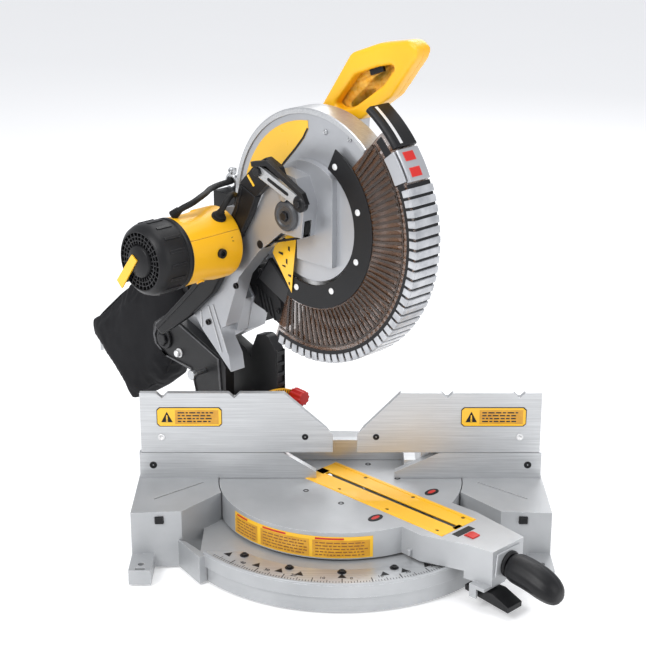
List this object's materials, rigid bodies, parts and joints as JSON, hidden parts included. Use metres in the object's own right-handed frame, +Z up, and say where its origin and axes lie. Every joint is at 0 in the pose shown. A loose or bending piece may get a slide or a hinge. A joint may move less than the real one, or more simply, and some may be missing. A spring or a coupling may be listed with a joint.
{
  "type": "compound miter saw",
  "caption": "Compound miter saw with turntable, tall sliding fences, tilting support post, chopping head with belt-drive motor, toothed blade, retracting guard and dust bag.",
  "frame": {"origin": "on the ground under the turntable pivot, centre of the four bench bolt holes", "axes": "+Z up, +X along the fence to the right, +Y to the back, away from the operator"},
  "size_m": [0.7398, 0.7954, 0.751],
  "materials": {
    "cast_aluminium": "cast, satin",
    "machined_aluminium": "machined, brushed",
    "guard_silver": "silver-grey satin paint",
    "yellow_plastic": "moulded, satin",
    "black_plastic": "moulded, fine texture",
    "black_iron": "black powder coat",
    "steel": "zinc plated",
    "blade_steel": "ground",
    "copper": "wound",
    "smoky_plastic": "smoky polycarbonate",
    "red_plastic": "moulded",
    "rubber": "matte",
    "bag_fabric": "woven nylon"
  },
  "bodies": {
    "base": {"base_casting": "cast_aluminium", "foot_pads": "rubber", "miter_scale": "machined_aluminium", "base_screws": "black_iron", "pivot_bolt": "steel", "fixed_fence": "machined_aluminium"},
    "left_fence": {"left_fence": "machined_aluminium"},
    "right_fence": {"right_fence": "machined_aluminium"},
    "left_fence_knob": {"left_fence_knob": "black_plastic"},
    "right_fence_knob": {"right_fence_knob": "black_plastic"},
    "table": {"turntable": "cast_aluminium", "kerf_plate": "yellow_plastic", "kerf_screws": "black_iron", "tilt_shaft": "steel", "bevel_scale": "yellow_plastic"},
    "miter_knob": {"miter_knob": "black_plastic"},
    "detent_lever": {"detent_lever": "black_plastic"},
    "support": {"support_post": "black_iron", "chop_pin": "steel"},
    "bevel_lever": {"bevel_lever": "black_plastic"},
    "bevel_stop_pin": {"bevel_stop_pin": "red_plastic"},
    "head_lock_pin": {"head_lock_pin": "steel"},
    "head": {"arm_casting": "guard_silver", "spindle_housing": "guard_silver", "upper_guard": "guard_silver", "link_bracket": "black_plastic", "arm_cover": "black_plastic", "motor_housing": "yellow_plastic", "motor_cap": "black_plastic", "brush_caps": "black_plastic", "field_coil": "copper", "rear_bearing": "steel", "drive_belt": "rubber", "hub_cap": "black_plastic", "handle_bracket": "guard_silver", "handle_left": "yellow_plastic", "handle_right": "yellow_plastic", "trigger_switch": "black_plastic", "dust_chute": "black_plastic", "dust_bag": "bag_fabric", "dust_deflector": "rubber", "warning_plate": "yellow_plastic", "power_cable": "rubber", "cable_clamp": "steel"},
    "lower_guard": {"guard_shell": "smoky_plastic", "guard_ring": "black_plastic", "guard_rivets": "steel", "guard_bumper": "black_plastic", "guard_bracket": "steel"},
    "guard_link": {"guard_link": "steel"},
    "rotor": {"armature": "steel", "drive_pulley": "steel"},
    "arbor": {"spindle": "steel", "blade": "blade_steel", "outer_flange": "steel", "blade_bolt": "steel", "driven_pulley": "steel"},
    "trigger": {"trigger": "black_plastic"},
    "spindle_lock": {"spindle_lock": "steel"}
  },
  "joints": [
    {"name": "miter", "type": "hinge", "parent": "base", "child": "table", "pos_m": [0, 0, 0.09], "axis": [0, 0, 1], "range_deg": [-95, 5]},
    {"name": "left_fence_slide", "type": "slide", "parent": "base", "child": "left_fence", "axis": [-1, 0, 0], "range_m": [0, 0.1]},
    {"name": "right_fence_slide", "type": "slide", "parent": "base", "child": "right_fence", "axis": [1, 0, 0], "range_m": [0, 0.1]},
    {"name": "left_knob_turn", "type": "hinge", "parent": "base", "child": "left_fence_knob", "pos_m": [-0.2, 0.03, 0.118], "axis": [0, 1, 0], "range_deg": [0, 180]},
    {"name": "right_knob_turn", "type": "hinge", "parent": "base", "child": "right_fence_knob", "pos_m": [0.2, 0.03, 0.118], "axis": [0, 1, 0], "range_deg": [0, 180]},
    {"name": "miter_knob_turn", "type": "hinge", "parent": "table", "child": "miter_knob", "pos_m": [0.24678, -0.23405, 0.062], "axis": [-0.7071, 0.7071, 0], "range_deg": [-180, 180]},
    {"name": "detent_squeeze", "type": "hinge", "parent": "table", "child": "detent_lever", "pos_m": [0.20506, -0.20506, 0.025], "axis": [0.7071, 0.7071, 0], "range_deg": [-6, 0], "stiffness_Nm_per_rad": 2, "springref_deg": 2.86},
    {"name": "bevel", "type": "hinge", "parent": "table", "child": "support", "pos_m": [0, 0, 0.09], "axis": [-0.7071, 0.7071, 0], "range_deg": [-33, 3]},
    {"name": "bevel_lever_turn", "type": "hinge", "parent": "support", "child": "bevel_lever", "pos_m": [-0.2192, 0.2192, 0.09], "axis": [-0.7071, 0.7071, 0], "range_deg": [-60, 60]},
    {"name": "bevel_stop_pull", "type": "slide", "parent": "table", "child": "bevel_stop_pin", "axis": [0.7071, -0.7071, 0], "range_m": [0, 0.012], "stiffness_N_per_m": 200, "springref_m": -0.01},
    {"name": "head_lock_push", "type": "slide", "parent": "support", "child": "head_lock_pin", "axis": [0.7071, 0.7071, 0], "range_m": [0, 0.019]},
    {"name": "chop", "type": "hinge", "parent": "support", "child": "head", "pos_m": [-0.25173, 0.25173, 0.23], "axis": [0.7071, 0.7071, 0], "range_deg": [0, 37.3]},
    {"name": "lower_guard_turn", "type": "hinge", "parent": "head", "child": "lower_guard", "pos_m": [-0.02334, 0.02334, 0.487], "axis": [0.7071, 0.7071, 0], "range_deg": [-105.5, 0]},
    {"name": "guard_link_swing", "type": "hinge", "parent": "head", "child": "guard_link", "pos_m": [-0.10465, 0.00566, 0.56], "axis": [0.7071, 0.7071, 0], "range_deg": [0, 6]},
    {"name": "motor_spin", "type": "hinge", "parent": "head", "child": "rotor", "pos_m": [-0.12021, 0.12021, 0.44], "axis": [0.7071, 0.7071, 0], "continuous": true},
    {"name": "arbor_spin", "type": "hinge", "parent": "head", "child": "arbor", "pos_m": [-0.02334, 0.02334, 0.487], "axis": [0.7071, 0.7071, 0], "continuous": true},
    {"name": "trigger_pull", "type": "slide", "parent": "head", "child": "trigger", "axis": [-0.2453, 0.2453, 0.9379], "range_m": [0, 0.004], "stiffness_N_per_m": 400, "springref_m": -0.004},
    {"name": "spindle_lock_push", "type": "slide", "parent": "head", "child": "spindle_lock", "axis": [0.7071, 0.7071, 0], "range_m": [0, 0.004], "stiffness_N_per_m": 300, "springref_m": -0.004}
  ],
  "couplings": [
    {"joint": "lower_guard_turn", "follows": "chop", "ratio": -2.815},
    {"joint": "guard_link_swing", "follows": "chop", "ratio": 0.16},
    {"joint": "motor_spin", "follows": "arbor_spin", "ratio": 1.2857}
  ]
}
